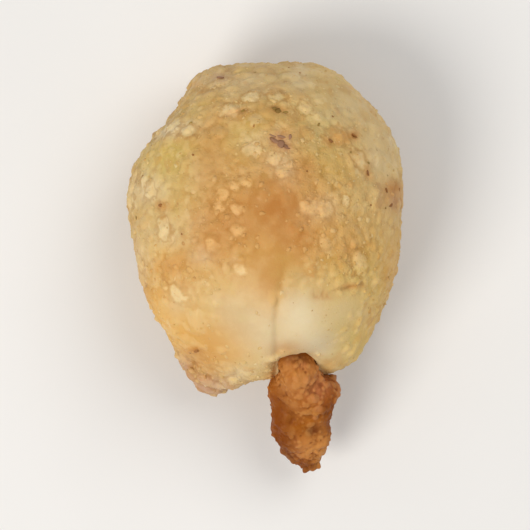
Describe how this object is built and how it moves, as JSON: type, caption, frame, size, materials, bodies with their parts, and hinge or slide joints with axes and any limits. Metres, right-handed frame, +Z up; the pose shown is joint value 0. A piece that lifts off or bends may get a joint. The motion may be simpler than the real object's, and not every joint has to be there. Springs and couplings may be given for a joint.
{
  "type": "stuffed pretzel bite",
  "caption": "Round baked dough bite with a coarse crust of grated cheese and a browned tongue of cheese filling leaking from its seam.",
  "frame": {"origin": "on the surface that it lies on, under the middle of the dough, in the flat base", "axes": "+Z up out of the base; +Y along the bite's length, away from the end where the filling leaks; +X across it"},
  "size_m": [0.0407, 0.0602, 0.0311],
  "materials": {
    "baked_dough": "satin",
    "browned_filling": "satin"
  },
  "bodies": {
    "root": {"dough": "baked_dough", "filling": "browned_filling"}
  },
  "joints": []
}
